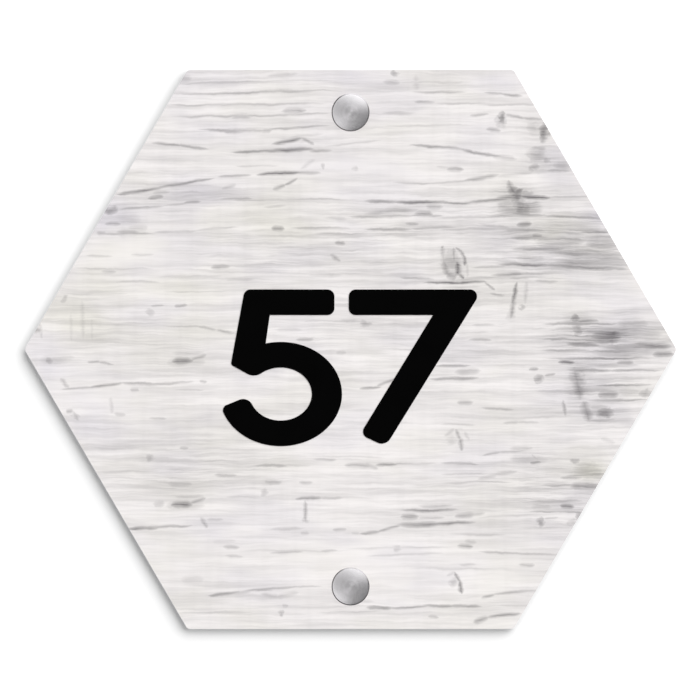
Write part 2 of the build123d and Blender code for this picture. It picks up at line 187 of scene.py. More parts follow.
# The printed grain's cracks in millimetres: start x, z, end x, z, width, and darkness in percent.
CRACKS = [
    # above the number, left
    (-57, 86, -50, 86, 2.4, 23),
    (-56.4, 80.9, -4.8, 81.8, 0.9, 43),
    (-57, 84.3, -18, 84.8, 0.7, 26),
    (-24, 84.9, -5, 84.8, 0.7, 20),
    (-27, 86.4, -16, 87, 1.4, 20),
    (-57.2, 77.7, -6.3, 77.8, 0.9, 38),
    (-57.6, 77.6, -44, 77.6, 0.8, 35),
    (-58.5, 73.9, -12, 74.5, 1, 38),
    (-38.2, 74, -31, 74, 1.8, 43),
    (-30, 74.2, -5, 75.2, 0.8, 38),
    (-22, 75.6, -13.8, 75.9, 1.8, 49),
    (-49, 69.9, -24, 69.1, 1.2, 54),
    (-41, 69.2, -33, 69, 1.1, 52),
    (-28.4, 69.1, -24.8, 69.3, 1.5, 50),
    (-29, 69.5, -5.5, 71.3, 0.9, 49),
    (-25.4, 64.9, -14.6, 67.3, 1.5, 74),
    (-16, 67.2, -11.2, 65.2, 1.1, 46),
    (-20, 67.4, -8, 68.6, 1, 20),
    (-38.4, 62.3, -20, 62.9, 1.3, 74),
    (-27, 62.8, -11, 63.9, 1.4, 74),
    (-13.5, 63.2, -5.5, 63.2, 1.3, 43),
    (-9, 64.6, 10, 66.2, 0.9, 26),
    (-37.4, 58, -22, 58, 0.8, 23),
    (-63.5, 65.5, -52, 64.7, 1.1, 48),
    (-55, 64.9, -44.5, 63.4, 1.1, 53),
    (-74.8, 49, -58, 51.2, 1.2, 74),
    (-62.5, 50.8, -42.4, 54.3, 1.2, 67),
    (-42.6, 54.4, -30.8, 55.3, 0.9, 50),
    (-30.2, 55.3, -14, 56, 1.6, 84),
    (-20, 55.9, -9, 55.6, 1.4, 50),
    (-24.8, 50.2, -20.4, 52.2, 1.6, 48),
    (-21.2, 51.9, -16.6, 54, 1, 55),
    (-16, 57, -11, 60.5, 1.6, 20),
    (-53, 46.4, -47.2, 46.7, 1.2, 50),
    (-41.8, 47.4, -30.4, 47.6, 0.9, 52),
    (-47, 47, 6, 47.2, 0.7, 26),
    (-41, 50.8, -36, 52.2, 1.4, 26),
    (-28, 44.8, -20, 45.2, 1, 23),
    # down the left side
    (-81, 36.4, -61, 36.7, 1, 42),
    (-80.6, 36.6, -77.2, 36.6, 1.4, 40),
    (-74.6, 36.8, -66.4, 37, 2.4, 48),
    (-78, 39.7, -72.4, 39.8, 1.5, 52),
    (-71, 38.6, -64, 38.6, 3, 22),
    (-64.6, 47.9, -58.8, 48.4, 1.3, 50),
    (-63, 49.2, -57, 49.8, 1, 32),
    (-73.4, 44.5, -58, 45.6, 1, 36),
    (-60, 45.6, -49.6, 46.4, 0.8, 28),
    (-62.9, 37.2, -48, 37.4, 1, 36),
    (-50, 37.6, -34.8, 38.9, 0.8, 30),
    (-69.9, 29.8, -62, 30, 1.1, 26),
    (-84, 29.5, -75, 29.5, 0.8, 26),
    (-88.6, 25.8, -62, 25.7, 0.8, 26),
    (-79, 24.9, -74, 25.1, 1.6, 28),
    (-75, 21.6, -60, 21.6, 0.9, 26),
    (-62, 23.2, -40, 23.4, 0.9, 20),
    (-44.6, 26.2, -37.8, 26.4, 1.5, 46),
    (-40, 22, -30, 22.2, 0.9, 24),
    (-92, 17.6, -70, 17.6, 1.2, 20),
    (-60, 18.2, -38, 18.4, 0.7, 22),
    (-63.6, 13.7, -58.8, 13.9, 1, 34),
    (-56.2, 13.7, -51.4, 13.9, 1.3, 46),
    (-48.8, 7.3, -42, 6.4, 1, 36),
    (-43, 6.6, -36.4, 5.2, 1.1, 40),
    (-60, 7.4, -44, 7.2, 0.8, 20),
    (-85, 16, -84.6, 3, 1.6, 18),
    (-88.6, 12, -88.4, 2, 1.2, 14),
    (-82, 10, -81.8, 2, 1, 12),
    (-98.6, 8.6, -97.6, 3.2, 1.2, 26),
    (-99, -3.4, -87, -2.8, 3.2, 20),
    (-83.6, -4.2, -78.8, -3.9, 1, 42),
    (-80, -3.9, -74.8, -5, 1, 40),
    (-57, -3.8, -49.2, -3.6, 2.8, 82),
    (-58.6, -4.2, -45.4, -4, 3.6, 30),
    (-51.2, -3.5, -45.4, -1.4, 1.6, 46),
    (-57, -1.2, -46, -0.6, 1.4, 22),
    (-92, -12.6, -80.4, -12.3, 0.9, 50),
    (-83.6, -12.5, -71, -10.8, 1.2, 70),
    (-74, -10.9, -60, -11.4, 1.2, 62),
    (-66, -11.3, -48.8, -10.5, 1, 46),
    (-92, -9, -89, -12.6, 1.4, 36),
    (-70, -12.8, -66.8, -12.8, 1.2, 30),
    (-48, -10.2, -45.4, -10.6, 1.3, 34),
    (-56, -13, -46, -13, 0.7, 24),
    (-90.4, -19.4, -87.6, -19.4, 1.4, 42),
    (-76, -15, -75.4, -20.6, 1.4, 22),
    (-75, -20.4, -71, -20.6, 1.3, 28),
    (-64, -21.8, -58, -21.8, 1, 28),
    (-82, -31, -66, -31.2, 1, 20),
    (-54.4, -31.4, -51.2, -31.4, 1.2, 42),
    (-80, -38.6, -60, -38.4, 1.2, 20),
    (-60, -38, -40, -37.8, 1, 22),
    (-43.6, -39.8, -35.4, -40, 1.3, 44),
    (-58, -42.4, -50, -42.4, 2, 22),
    (-57.4, -49.2, -49.4, -49, 2.8, 82),
    (-58.8, -49.4, -45.8, -49.2, 3.4, 30),
    (-51.4, -48.8, -45.6, -46.8, 1.6, 46),
    (-56, -46.6, -46, -46.2, 1.4, 20),
    (-71.2, -56.9, -60, -56.6, 1.3, 72),
    (-66, -56.6, -49.4, -55.8, 1, 50),
    (-47.6, -53.2, -45.2, -56.6, 1.5, 40),
    (-45.8, -54, -40, -53.9, 0.8, 30),
    # below the number, left
    (-40.6, -62.4, -35, -62.6, 1.5, 37),
    (-44, -61, -36, -60.6, 1.4, 18),
    (-40, -65.4, -34, -65.4, 1.2, 26),
    (-26, -64.5, -14.6, -64.2, 1, 40),
    (-10, -63.7, -3.8, -63.6, 1.1, 31),
    (-36, -63.6, 0, -63.9, 0.7, 16),
    (-45.6, -78.2, -34, -77, 1.1, 66),
    (-38.4, -77.6, -31, -76.9, 1.2, 34),
    (-36, -77, -14.2, -75.1, 0.9, 56),
    (-22, -75.3, -8.6, -75.3, 0.8, 34),
    (-28.6, -77.4, -22, -78.4, 1.4, 27),
    (-24, -78.4, -16.2, -77.2, 1.6, 31),
    (-21.8, -81.1, -19.6, -81.3, 1.4, 29),
    (-56, -83.4, -30, -83.2, 0.8, 22),
    (-11, -83.4, 10, -83, 0.9, 24),
    (-54, -73, -46, -73, 2.6, 18),
    (-66, -69, -64, -74, 2, 14),
    (-17.8, -47.2, -8.6, -46.8, 1.3, 54),
    (-14.3, -47.4, -14.3, -55, 1.4, 50),
    (-40, -46.6, -28, -46.6, 0.8, 20),
    (-10, -46.8, -2, -46.9, 0.9, 30),
    (-26, -56.6, -14, -56.2, 1.2, 26),
    (-16, -57.8, -13, -58.2, 1.4, 26),
    (-30.8, -36.9, -19.6, -37, 1, 42),
    (-27.6, -41.8, -21.6, -42.2, 1.7, 29),
    (-16.6, -42.1, -11.8, -42.2, 1.3, 34),
    (-12, -34.9, -4, -35, 1, 34),
    (-14, -33.8, 12, -34.2, 0.8, 22),
    (-6, -57.2, -1, -56.8, 1.4, 36),
    (0, -57.9, 3, -58, 1, 20),
    # above the number, right
    (10, 84.7, 16, 84.8, 1.5, 30),
    (14, 84.9, 40, 84.8, 0.8, 22),
    (27, 84.6, 36, 84.6, 1.3, 24),
    (20.6, 87, 21, 82, 2, 16),
    (18.4, 81.7, 37.4, 81.4, 1, 44),
    (42, 81.3, 50, 80.7, 1, 40),
    (47, 80.9, 55, 80.2, 1.1, 50),
    (20, 78.5, 27, 78.2, 1.1, 42),
    (25, 78.1, 48, 77.4, 0.9, 28),
    (40, 77.2, 60, 77.6, 0.8, 24),
    (9.5, 75, 21, 75, 1, 26),
    (37.4, 74.2, 44.2, 74.2, 0.9, 40),
    (9.5, 70.9, 41, 70.8, 0.9, 22),
    (48.4, 74.1, 56, 73, 1.3, 50),
    (53, 73.4, 61.6, 72.6, 1.1, 44),
    (42.8, 69.9, 47.8, 69, 1.4, 42),
    (57.2, 64, 62, 63.6, 1.4, 38),
    (62, 56.8, 70, 56.9, 1.3, 34),
    (18, 64.8, 38, 62.9, 1.2, 58),
    (32, 63.7, 50, 60.6, 1.2, 60),
    (44, 61.3, 53, 60.3, 1.6, 34),
    (30.2, 57.1, 36, 57, 1.7, 60),
    (27, 57.8, 32, 57.4, 1, 22),
    (13, 52.8, 27, 52.5, 1, 36),
    (23, 52.4, 40, 53.8, 0.9, 34),
    (35, 53.4, 47.6, 55.3, 1.3, 54),
    (46, 54.7, 58, 56.4, 1.2, 24),
    (4, 47, 16, 47, 1.2, 52),
    (12, 46.9, 32, 46.9, 1.3, 76),
    (27, 46.6, 40, 46.3, 1, 62),
    (36, 46.3, 52, 47.9, 1.4, 76),
    (45, 47.4, 53.6, 48.6, 2, 70),
    (52.4, 48.8, 63.8, 48, 1.6, 84),
    (49.8, 53.9, 51.6, 49.4, 2.2, 60),
    (50.4, 52, 53, 48.2, 3.4, 80),
    (51.6, 50.2, 54.2, 48.3, 3.2, 80),
    (50.6, 42.8, 57.4, 42.7, 1.5, 46),
    (62, 48.2, 77, 48.2, 0.9, 30),
    (23.6, 45.6, 29.4, 45.4, 2.4, 36),
    (-1, 42.1, 21.2, 42.2, 1.3, 56),
    (4, 43, 22, 44.4, 2.4, 28),
    (18, 42.3, 30, 42.4, 1, 50),
    (20, 42.9, 26.4, 43.2, 2.4, 60),
    (26, 42, 50, 41.9, 0.8, 28),
    (42, 42.4, 62.6, 42.3, 1.2, 52),
    (60, 42.2, 80, 41.2, 0.9, 44),
    (17, 40.2, 21.8, 39.8, 1, 40),
    (4, 38.2, 20, 38.3, 1.2, 56),
    (18, 38.4, 34, 38.9, 0.9, 34),
    (-25.4, 38.2, -20.6, 38.2, 1.7, 66),
    (-19.4, 38.5, 1, 38.3, 1, 40),
    (-12, 36.6, 6, 36.6, 1.1, 28),
    (-8, 41.6, -1, 41.2, 1.4, 18),
    (28, 38, 48, 38.2, 0.8, 34),
    (40, 40, 51, 38, 1.2, 26),
    (52.4, 39.2, 57.6, 39.6, 1.9, 66),
    (48, 37.6, 62, 37.4, 0.9, 30),
    (57, 35.4, 61, 35.6, 1.7, 54),
    (50, 35.2, 64, 35.2, 1, 44),
    # the dense streaks to the right of the numerals, upper
    (60, 39, 80, 38.6, 4.4, 26),
    (62, 37, 75, 36.4, 2, 26),
    (72, 37.2, 82.4, 37, 1.1, 60),
    (58, 34, 74, 34, 4.6, 30),
    (74, 33.6, 86, 33.4, 4, 40),
    (50, 31.7, 68.6, 31.6, 1.1, 56),
    (62, 30.4, 86, 30.2, 3.4, 28),
    (64, 27.8, 88, 27.8, 4.4, 40),
    (78, 29, 86, 28.6, 2.4, 30),
    (46, 26.7, 64, 26.6, 1.2, 66),
    (58, 26.4, 88.6, 25.8, 1.6, 64),
    (72, 25.8, 89, 25.6, 1, 54),
    (38, 25.6, 50, 26.2, 0.8, 34),
    (44, 23.2, 55, 23.8, 1.1, 50),
    (34, 22, 46, 22.6, 0.8, 24),
    (52, 28.8, 62, 28.4, 2.4, 24),
    (58, 21.4, 66, 21.2, 1, 34),
    # the ringed knot and the upright crack
    (28.9, 33, 29.6, 27.6, 1.5, 36),
    (29.4, 28.6, 30.8, 23.2, 2.4, 60),
    (30.2, 24, 33.6, 22.6, 2.2, 60),
    (28.6, 32.3, 29.5, 32.1, 1.2, 50),
    (32.6, 32.4, 32.7, 26.6, 1.3, 56),
    (30.9, 31.8, 31.2, 26.6, 0.9, 26),
    (33, 32.4, 35.4, 30.6, 1, 54),
    (35, 31.1, 36.2, 28.4, 1.1, 66),
    (36, 29.2, 36.3, 26.2, 1.3, 72),
    (33.8, 27.8, 34.1, 23, 2.2, 100),
    (34, 24.2, 32.6, 22.8, 1.4, 60),
    (34.2, 23.8, 36.2, 22.2, 1, 74),
    (36.9, 27.4, 37.1, 22.4, 1, 22),
    (22.6, 21.1, 36, 21.1, 1.1, 82),
    (33, 21.2, 43.4, 21.3, 1, 72),
    (42, 21.3, 46, 18.6, 1, 50),
    (15, 23.2, 27, 22.2, 0.9, 40),
    (28, 19.8, 42, 19.8, 0.8, 24),
    (52.7, 21.4, 51.2, 13.4, 1.5, 82),
    (51.9, 16.4, 50.6, 9.2, 1.8, 56),
    (55.8, 21.6, 55.2, 14, 1.5, 24),
    (50, 22.4, 57, 22.2, 0.9, 30),
    (44, 17.6, 49, 16.8, 1, 36),
    # the dense streaks to the right of the numerals, middle
    (71.6, 8.9, 79, 9, 1.3, 56),
    (60, 8, 86, 8.2, 1, 48),
    (84, 8.2, 94.6, 7.8, 2.6, 38),
    (62, 6.4, 98, 6.4, 1, 44),
    (74, 6.2, 84, 5.6, 2.2, 34),
    (76, 4.2, 86, 4, 3.8, 62),
    (60, 3.2, 80, 3.2, 1, 50),
    (86, 4.6, 99, 4.8, 3.2, 26),
    (68, 1.8, 79.4, 1.5, 1.5, 66),
    (90, 1.6, 102, 1, 2.6, 56),
    (78, 0.6, 100, 0.4, 1.6, 40),
    (60, -0.4, 76, -0.2, 1, 40),
    (95, -1.7, 102.6, -1.5, 2.2, 70),
    (76, -1.2, 98, -1.4, 2.4, 34),
    (61, -2.9, 99, -2.7, 1, 60),
    (65.6, -4, 71.2, -4, 1.7, 76),
    (84, -4.4, 90, -4, 2.2, 50),
    (74, -5, 92, -5, 1.4, 30),
    (68, -6.6, 84, -6.8, 1.3, 66),
    (80, -6.8, 99, -6.9, 1, 60),
    (70.6, -5.4, 73, -15.8, 3.2, 56),
    (74, -9.4, 94, -9.4, 2.4, 18),
    (77, -11.4, 96, -11.4, 1, 60),
    (78, -14.2, 85.4, -14.2, 2.4, 58),
    (74, -15.8, 95, -16, 1, 50),
    (84, -13.6, 92, -13.4, 2, 24),
    (73.6, -15.8, 75.8, -23.2, 3.2, 56),
    (75, -18.2, 82, -18, 1.4, 36),
    (73.6, -22.4, 85, -22, 1.2, 42),
    (80, -22.4, 90, -21.8, 2, 22),
    (67.2, -15.4, 68.2, -21.4, 1.3, 44),
    (61.2, -8.5, 65, -8, 1, 50),
    (56.4, -6.2, 59.6, -6.2, 1.3, 46),
    (58, -13, 70, -13.2, 0.9, 20),
    (79, -28, 84, -30, 1.8, 24),
    # between and beside the numerals
    (-4, 9.2, 3, 9, 1.4, 36),
    (-16, 9, 12, 9, 1, 30),
    (-17.6, 3.3, -11.4, 3.5, 1, 44),
    (-24, 6, -15, 6.4, 1.6, 22),
    (-4.8, -1, -1, -1, 1.4, 26),
    (2.6, -12.3, 10, -11.9, 1.1, 56),
    (7.6, -12, 14.6, -9.1, 1.1, 46),
    (-5.2, 34, -1.4, 34, 1.4, 50),
    (-6.6, 30.6, -3, 28.2, 1.5, 38),
    (-14, 24, -2, 23.8, 1.2, 18),
    (26, -5.1, 38.4, -5.1, 1, 56),
    (24, -9.4, 41.2, -9.1, 1.3, 66),
    (32.6, -7.2, 41.6, -6.8, 2, 44),
    (38, 7.8, 46, 7.8, 1, 36),
    (37, 2.9, 45, 3, 0.9, 42),
    (33, 5.2, 44, 5.2, 1.2, 24),
    (33.4, -16.9, 39, -16.9, 1.7, 44),
    (41, -18.6, 52, -18.9, 1, 44),
    (28, -23.9, 40, -23.7, 0.9, 34),
    (48, -23, 54, -22.5, 1, 32),
    (52, -22.5, 60, -23, 0.9, 30),
    # below the number, right
    (33.2, -25, 35, -28.8, 1.3, 46),
    (34.6, -27.6, 35.3, -32, 1.7, 56),
    (29.6, -27.4, 33, -25, 1.2, 26),
    (36, -25.6, 37.6, -28.6, 1.2, 22),
    (41.6, -33.5, 48, -32.2, 1, 42),
    (46, -32.4, 56, -31.7, 0.9, 34),
    (50, -30.9, 58, -31, 1.8, 28),
    (50, -34.4, 63, -34.8, 3.6, 24),
    (56.4, -35.7, 60.6, -35.7, 1.3, 50),
    (57, -33, 59.6, -35.2, 1.2, 32),
    (28, -36.1, 41, -36.3, 1, 52),
    (10, -36.2, 28, -36, 0.8, 30),
    (-2.4, -36.6, 7.6, -36.9, 1.8, 46),
    (4, -36, 9, -37.8, 1.8, 32),
    (7.6, -36.3, 15.2, -36.3, 1.3, 56),
    (67, -39.9, 80, -39.7, 1.1, 46),
    (66, -40.4, 74, -40.6, 1.6, 40),
    (69, -43.2, 79.6, -43.2, 2.8, 66),
    (60, -43, 72, -43, 1, 40),
    (40, -41.6, 47, -39.6, 1.5, 30),
    (45, -39.8, 53, -38.7, 1.5, 34),
    (28, -39.4, 44, -39.6, 0.8, 30),
    (28, -42.2, 52, -42, 0.8, 30),
    (66, -49.4, 71, -49.6, 1.7, 64),
    (56, -48, 74, -47.8, 1, 42),
    (56, -51.4, 76, -51.4, 1, 50),
    (57, -49.8, 64, -49.8, 2.2, 24),
    (61, -53.9, 66, -53.4, 0.9, 34),
    (40, -53.4, 60, -52.2, 0.8, 22),
    (15, -50.7, 34.8, -50.7, 1.1, 62),
    (21, -49.4, 33, -49.4, 1.2, 34),
    (15.6, -52.8, 21.8, -52.6, 2.3, 56),
    (21, -52.9, 30, -53, 1, 30),
    (32.6, -52.8, 40, -52.2, 1.8, 52),
    (36, -52.6, 43, -52, 1.2, 36),
    (2.6, -58.2, 10, -57.5, 1.2, 56),
    (8, -57.7, 17, -55.2, 1.1, 56),
    (14, -55.5, 30, -55, 1.9, 72),
    (24, -55, 40.2, -54.6, 1.2, 66),
    (33.5, -62.3, 39, -62.4, 1.9, 56),
    (36, -60.6, 40, -61.2, 1.6, 22),
    (-2, -63.2, 32, -62.6, 0.9, 24),
    (4, -65.6, 30, -64.4, 0.9, 24),
    (30, -58.4, 50, -58.6, 0.8, 20),
    (40, -64.1, 56, -64.9, 1, 42),
    (50, -64.8, 66, -65.2, 0.9, 34),
    (53, -68.5, 58.6, -68.5, 1.2, 42),
    (18, -69.4, 46, -69.6, 0.8, 18),
    (4.6, -81.9, 13.6, -81.8, 1.4, 76),
    (11, -81.9, 26, -81, 1, 56),
    (22, -80.8, 34, -81.2, 1.1, 60),
    (30, -81, 42, -81.4, 1.1, 56),
    (32.6, -70.2, 34.9, -74, 1.2, 60),
    (34.5, -73, 35.2, -77.6, 1.6, 76),
    (30.4, -71.6, 33.2, -70.4, 1.2, 24),
    (34, -68.4, 40, -68.4, 1.1, 24),
    (41, -79.2, 46, -77.6, 1.2, 50),
    (44, -77.8, 57.4, -76.5, 1.1, 48),
    (52, -76.6, 60, -76.4, 1, 26),
    (38.6, -86.6, 44, -84.6, 1.9, 56),
    (42, -85, 54.6, -83.5, 1.3, 66),
    (24.4, -84.6, 28.2, -84.7, 1.2, 44),
    (46, -81.4, 60, -81.2, 0.9, 30),
    (-2, -79.6, 8, -80, 1.2, 22),
]

# Its knots and blots, given in the same way.
KNOTS = [
    (-9.8, 57.6, -7.8, 57.9, 1.8, 44),
    (0.2, 56.9, 2.8, 57.2, 1.6, 26),
    (-78.4, 44.2, -73.4, 44.2, 2.6, 60),
    (-75, 41.8, -66, 41, 5, 18),
    (-91.5, 16.4, -89.4, 15.6, 2.4, 40),
    (-65.2, 11.6, -61.8, 11.6, 2.4, 34),
    (-100.4, 5.6, -97.8, 6.2, 2.4, 60),
    (-97.4, -3.8, -93.8, -3.4, 2.4, 54),
    (-88.6, -19.4, -85.8, -22.6, 1.8, 38),
    (-65.4, -34.2, -62, -34.2, 2.2, 42),
    (-62.6, -48.8, -58.6, -48.8, 2.2, 30),
    (-23.2, -83.8, -20.8, -83.4, 1.9, 46),
    (-15.4, -53.2, -13.2, -54.6, 2, 34),
    (-28.8, -45.2, -25.8, -45, 1.9, 34),
    (12.4, 87.8, 15.4, 87, 2.2, 60),
    (53, 84.6, 57, 84.4, 1.8, 22),
    (46.5, 72.6, 49.1, 72.8, 4, 100),
    (47.4, 74.8, 48.2, 69.4, 3.2, 50),
    (59.4, 69, 63.2, 68.6, 5.2, 86),
    (60.4, 71.4, 62.4, 66, 4, 30),
    (56, 72.4, 59, 68, 3, 20),
    (55, 62, 62.6, 62, 3.6, 44),
    (60.6, 61.4, 63.4, 59.4, 1.6, 34),
    (56.4, 58, 60, 58.2, 2, 48),
    (64, 58.4, 70.6, 58.6, 4, 32),
    (46.2, 46.6, 50.4, 44, 3.2, 46),
    (53.4, 50, 58, 48.8, 2.4, 40),
    (51.8, 47.6, 55, 42.4, 3.8, 72),
    (54.6, 46.8, 56.6, 42.6, 4.2, 56),
    (46, 47, 53, 43, 4.4, 42),
    (55, 46.6, 61, 43.4, 4, 34),
    (31.4, 31.6, 32.2, 23.6, 5.6, 50),
    (51.6, 50.6, 53.4, 48.8, 4.8, 100),
    (50.6, 48.7, 54.4, 48.5, 4.4, 100),
    (50.6, 47, 55.6, 46.6, 4.6, 50),
    (50.8, 12.4, 50.8, 9, 2.8, 24),
    (54.4, 14.4, 54.6, 12.4, 2.2, 52),
    (69.6, 9.8, 73, 9.8, 2, 74),
    (70, 5.8, 73.4, 6.4, 3.2, 60),
    (80.6, 3.9, 84.8, 3.8, 3.4, 66),
    (69, -7.4, 74.6, -11.4, 3.6, 50),
    (71.4, -10.6, 73.4, -10.4, 4.4, 30),
    (91, -14, 95.4, -14, 2.2, 56),
    (77.6, -19.8, 83.8, -19.8, 3.4, 70),
    (57.8, -9.4, 61.6, -9.2, 2.4, 66),
    (2, 8.5, 7, 8.5, 2.2, 60),
    (8.4, 43.6, 10.6, 43.2, 1.6, 36),
    (30, -29.4, 34, -27.4, 3, 22),
    (69, -35.5, 72.6, -35.5, 1.9, 62),
    (70, -38.6, 80, -38.2, 5.4, 36),
    (71, -53.2, 73.6, -52.4, 2.8, 62),
    (68.4, -55, 72, -54.6, 2, 36),
    (58.5, -54.9, 61.7, -54.7, 2.7, 66),
    (12.6, -63.2, 16.4, -63, 1.9, 42),
    (30.6, -74, 34.4, -73.8, 2.4, 38),
]

# Soft fields in the print, in millimetres: centre x, z, half width, half height, and strength.
STRAW_FIELDS = [
    (20, 62, 50, 24, 0.1),
    (-30, 40, 60, 16, 0.45),
    (-60, 20, 44, 26, 0.55),
    (-86, 8, 18, 14, 0.6),
    (66, 37, 14, 7, 0.8),
    (78, 25, 20, 11, 1.0),
    (76, -38.5, 7, 4.5, 1.0),
    (-80, -9, 14, 7, 0.45),
    (-50, -30, 40, 18, 0.35),
    (10, 30, 30, 10, 0.35),
]
LILAC_FIELDS = [
    (-20, 87, 60, 5, 0.6),
    (-20, 64, 34, 24, 0.5),
    (45, 86, 16, 6, 0.8),
    (-46, 52, 18, 7, 0.8),
    (-77, 41, 13, 9, 0.8),
    (-90, 26, 9, 10, 0.35),
    (66, 60, 10, 8, 0.8),
    (80, 42, 10, 6, 0.9),
    (92, 6, 14, 8, 0.3),
    (-80, -17, 30, 6, 0.3),
    (-97, -8, 8, 12, 0.6),
    (-84, -30, 12, 18, 0.5),
    (-50, -58, 24, 7, 0.4),
    (80, -10, 24, 20, 0.15),
]
# Where the fine grey lines crowd together.
DENSE_FIELDS = [
    (84, 2, 30, 13, 0.95),
    (76, 33, 34, 15, 1.0),
    (60, 31, 24, 13, 0.9),
    (76, -14, 26, 15, 0.65),
    (20, 43, 60, 10, 0.55),
    (10, 36, 44, 8, 0.65),
    (-60, 51, 28, 10, 0.5),
    (-76, 8, 34, 16, 0.35),
    (-30, 84, 44, 7, 0.4),
    (-10, 30, 60, 14, 0.55),
    (-50, -38, 42, 11, 0.55),
    (66, -44, 30, 18, 0.6),
    (20, 2, 70, 18, 0.35),
]
# Where the wash lies thick and hides them.
THICK_WASH_FIELDS = [
    (0, -68, 54, 16, 0.6),
    (-60, -66, 24, 12, 0.5),
    (-8, 58, 44, 5, 0.7),
    (-70, 31, 24, 8, 0.75),
    (-30, 80, 24, 8, 0.4),
    (-80, -16, 22, 6, 0.6),
    (10, -15, 12, 6, 0.6),
    (34, -66, 30, 8, 0.4),
]
# Grey smudges round the knots and among the dense lines.
SMUDGES = [
    (52, 48.6, 9, 6.5, 0.36),
    (54, 45, 10, 5, 0.44),
    (60, 68, 8, 6, 0.16),
    (61, 60, 8, 5, 0.2),
    (72, 7.6, 6.5, 4.5, 0.34),
    (83, 4.4, 8, 4.4, 0.42),
    (75, 3.6, 20, 6.5, 0.34),
    (75, 2, 12, 3, 0.22),
    (89, 1, 14, 4, 0.18),
    (33, 26, 8, 8, 0.2),
    (72.6, -11, 5.5, 10, 0.34),
    (80, -13, 10, 8, 0.14),
    (80, -19.5, 9, 3, 0.2),
    (74, 38, 20, 6, 0.14),
    (60, 31, 34, 15, 0.16),
    (79, -41, 8, 4, 0.3),
    (70, 29, 22, 5, 0.14),
    (28, 4, 6, 4, 0.12),
    (-74, 43, 10, 5, 0.12),
    (22, -53, 16, 4, 0.12),
    (62, -41, 34, 9, 0.12),
    (18, -42, 26, 8, 0.08),
    (60, 44, 18, 9, 0.12),
]


def srgb(red, green, blue):
    """A colour given in the display's 0 to 255, as the linear RGBA that a shader takes."""
    linear = []
    for part in (red, green, blue):
        share = part / 255
        linear.append(share / 12.92 if share <= 0.04045 else ((share + 0.055) / 1.055) ** 2.4)
    return (*linear, 1.0)


class Wire:
    """A shader value with Python's operators: each one adds a Math node."""

    def __init__(self, nodes, socket):
        self.nodes = nodes
        self.socket = socket

    def math(self, operation, *others, clamp=False):
        values = dict(enumerate((self, *others)))
        return self.nodes.node("Math", {"operation": operation, "use_clamp": clamp}, values)

    def vector(self, operation, *others):
        values = dict(enumerate((self, *others)))
        return self.nodes.node("VectorMath", {"operation": operation}, values)

    def __add__(self, other):
        return self.math("ADD", other)

    __radd__ = __add__

    def __mul__(self, other):
        return self.math("MULTIPLY", other)

    __rmul__ = __mul__

    def __sub__(self, other):
        return self.math("SUBTRACT", other)

    def __rsub__(self, other):
        return self.nodes.node("Math", {"operation": "SUBTRACT"}, {0: other, 1: self})

    def clamped(self):
        return self.math("ADD", 0.0, clamp=True)


class Nodes:
    """The nodes of one material, or of the world."""

    def __init__(self, tree):
        self.tree = tree
        self.tree.nodes.clear()

    def node(self, kind, settings=None, sockets=None, output=0):
        """One node of this type: its settings first, then its sockets' values or links."""
        made = self.tree.nodes.new("ShaderNode" + kind)
        for name, value in (settings or {}).items():
            setattr(made, name, value)
        for name, value in (sockets or {}).items():
            if isinstance(value, Wire):
                self.tree.links.new(value.socket, made.inputs[name])
            else:
                made.inputs[name].default_value = value
        return Wire(self, made.outputs[output])

    def outputs(self, wire, *names):
        """The named outputs of the node that this wire comes from."""
        sockets = wire.socket.node.outputs
        return [Wire(self, sockets[name]) for name in names]

    def place(self):
        """The surface point in millimetres, on Object coordinates."""
        point = self.node("TexCoord", output="Object")
        return self.node("VectorMath", {"operation": "SCALE"}, {0: point, "Scale": 1 / MM})

    def axes(self, point):
        """The point's X, Y and Z."""
        return self.outputs(self.node("SeparateXYZ", sockets={0: point}), "X", "Y", "Z")

    def point(self, *values):
        """The point with these coordinates, and 0 for those that aren't given."""
        return self.node("CombineXYZ", None, dict(enumerate(values)))

    def noise(self, point, scales, seed, detail=2.0, roughness=0.5):
        """Noise with this many cells a millimetre along each axis. Two scales make it a flat one."""
        flat = len(scales) == 2
        shift = [seed * step for step in SEED_STEP]
        coords = point.vector("MULTIPLY_ADD", (*scales, 0.0)[:3], shift)
        settings = {"noise_dimensions": "2D" if flat else "3D"}
        sockets = {"Vector": coords, "Scale": 1.0, "Detail": detail, "Roughness": roughness}
        return self.node("TexNoise", settings, sockets)

    def ramp(self, value, low, high, start=0.0, end=1.0):
        """start below low, end above high, and a smooth way between them."""
        sockets = {"Value": value, "From Min": low, "From Max": high, "To Min": start, "To Max": end}
        return self.node("MapRange", {"interpolation_type": "SMOOTHSTEP"}, sockets)

    def blend(self, share, first, second):
        """The first colour turned into the second by this share."""
        sockets = {MIX_SHARE: share, MIX_FIRST: first, MIX_SECOND: second}
        return self.node("Mix", {"data_type": "RGBA"}, sockets, MIX_RESULT)

    def drift(self, share, colours):
        """The first of a finish's two colours turned into the second by this share."""
        first, second = colours
        return self.blend(share, srgb(*first), srgb(*second))

    def bump(self, height, depth, strength):
        """Relief of this depth in metres where height runs from 0 to 1."""
        return self.node("Bump", None, {"Height": height, "Distance": depth, "Strength": strength})

    def surface(self, **sockets):
        """The finished surface, from Principled sockets with underscores for spaces."""
        named = {name.replace("_", " "): value for name, value in sockets.items()}
        self.end(self.node("BsdfPrincipled", None, named))

    def end(self, shader, output="OutputMaterial"):
        """Makes this shader what the material or the world shows."""
        last = self.tree.nodes.new("ShaderNode" + output)
        self.tree.links.new(shader.socket, last.inputs["Surface"])


def new_finish(name):
    """A new material and its nodes."""
    material = bpy.data.materials.new(name)
    material.use_nodes = True
    return material, Nodes(material.node_tree)


